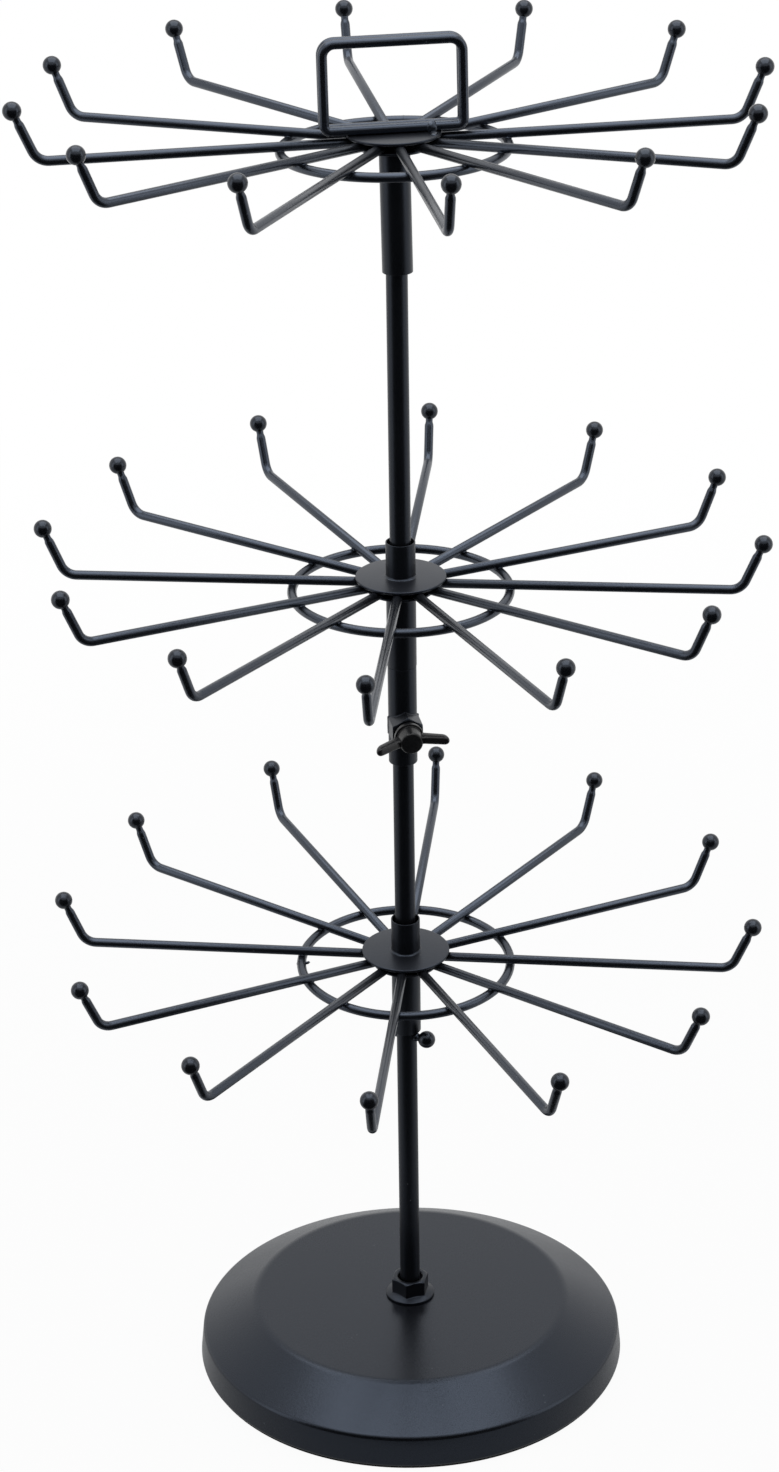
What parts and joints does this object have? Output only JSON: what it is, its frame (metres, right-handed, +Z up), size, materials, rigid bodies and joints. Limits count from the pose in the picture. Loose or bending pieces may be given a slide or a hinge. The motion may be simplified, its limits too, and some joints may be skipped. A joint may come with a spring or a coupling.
{
  "type": "jewellery display stand",
  "caption": "Revolving tabletop jewellery stand: tiers of ball-tipped wire hooks turn on a central post with a height clamp, a wire carrying handle and a weighted round base.",
  "frame": {"origin": "centre of the base's underside, on the surface that the stand rests on", "axes": "+Z up along the post; +X to the right and +Y away, seen from the side of the clamp screw"},
  "size_m": [0.3064, 0.3081, 0.6107],
  "materials": {
    "black_coated_steel": "satin",
    "gloss_black_balls": "gloss",
    "base_shell": "satin",
    "base_pad": "matte",
    "wing_head": "gloss"
  },
  "bodies": {
    "stand": {"base_body": "base_shell", "base_pad": "base_pad", "base_flange_nut": "black_coated_steel", "post": "black_coated_steel"},
    "bottom_tier": {"bottom_hooks": "black_coated_steel", "bottom_ball_tips": "gloss_black_balls", "bottom_ring": "black_coated_steel", "bottom_top_plate": "black_coated_steel", "bottom_lower_plate": "black_coated_steel", "bottom_sleeve": "black_coated_steel"},
    "middle_tier": {"middle_hooks": "black_coated_steel", "middle_ball_tips": "gloss_black_balls", "middle_ring": "black_coated_steel", "middle_top_plate": "black_coated_steel", "middle_lower_plate": "black_coated_steel", "middle_sleeve": "black_coated_steel"},
    "top_tier": {"top_hooks": "black_coated_steel", "top_ball_tips": "gloss_black_balls", "top_ring": "black_coated_steel", "top_top_plate": "black_coated_steel", "top_lower_plate": "black_coated_steel", "top_sleeve": "black_coated_steel", "handle_front_loop": "black_coated_steel", "handle_rear_loop": "black_coated_steel"},
    "height_collar": {"height_collar": "black_coated_steel", "collar_weld_nut": "black_coated_steel"},
    "clamp_screw": {"clamp_screw": "black_coated_steel"},
    "wing_head": {"wing_head": "wing_head"},
    "stop_pin": {"stop_pin": "black_coated_steel", "stop_pin_ball": "gloss_black_balls"}
  },
  "joints": [
    {"name": "bottom_tier_spin", "type": "hinge", "parent": "stand", "child": "bottom_tier", "pos_m": [0, 0, 0.19365], "axis": [0.0014, -0.0392, 0.9992], "continuous": true},
    {"name": "collar_height", "type": "slide", "parent": "stand", "child": "height_collar", "axis": [0, 0, 1], "range_m": [-0.07, 0.11]},
    {"name": "middle_tier_spin", "type": "hinge", "parent": "height_collar", "child": "middle_tier", "pos_m": [0, 0, 0.379], "axis": [0, 0, 1], "continuous": true},
    {"name": "top_tier_spin", "type": "hinge", "parent": "stand", "child": "top_tier", "pos_m": [0, 0, 0.54258], "axis": [-0.0131, 0.037, 0.9992], "continuous": true},
    {"name": "clamp_screw_travel", "type": "slide", "parent": "height_collar", "child": "clamp_screw", "axis": [0.1736, -0.9848, 0], "range_m": [0, 0.0025]},
    {"name": "clamp_screw_turn", "type": "hinge", "parent": "clamp_screw", "child": "wing_head", "pos_m": [0.00313, -0.01773, 0.3147], "axis": [0.1736, -0.9848, 0], "range_deg": [0, 720]},
    {"name": "stop_pin_pull", "type": "slide", "parent": "stand", "child": "stop_pin", "axis": [0.8829, -0.4695, 0], "range_m": [0, 0.024]}
  ],
  "couplings": [
    {"joint": "clamp_screw_travel", "follows": "clamp_screw_turn", "m_per_rad": 0.00019894}
  ]
}
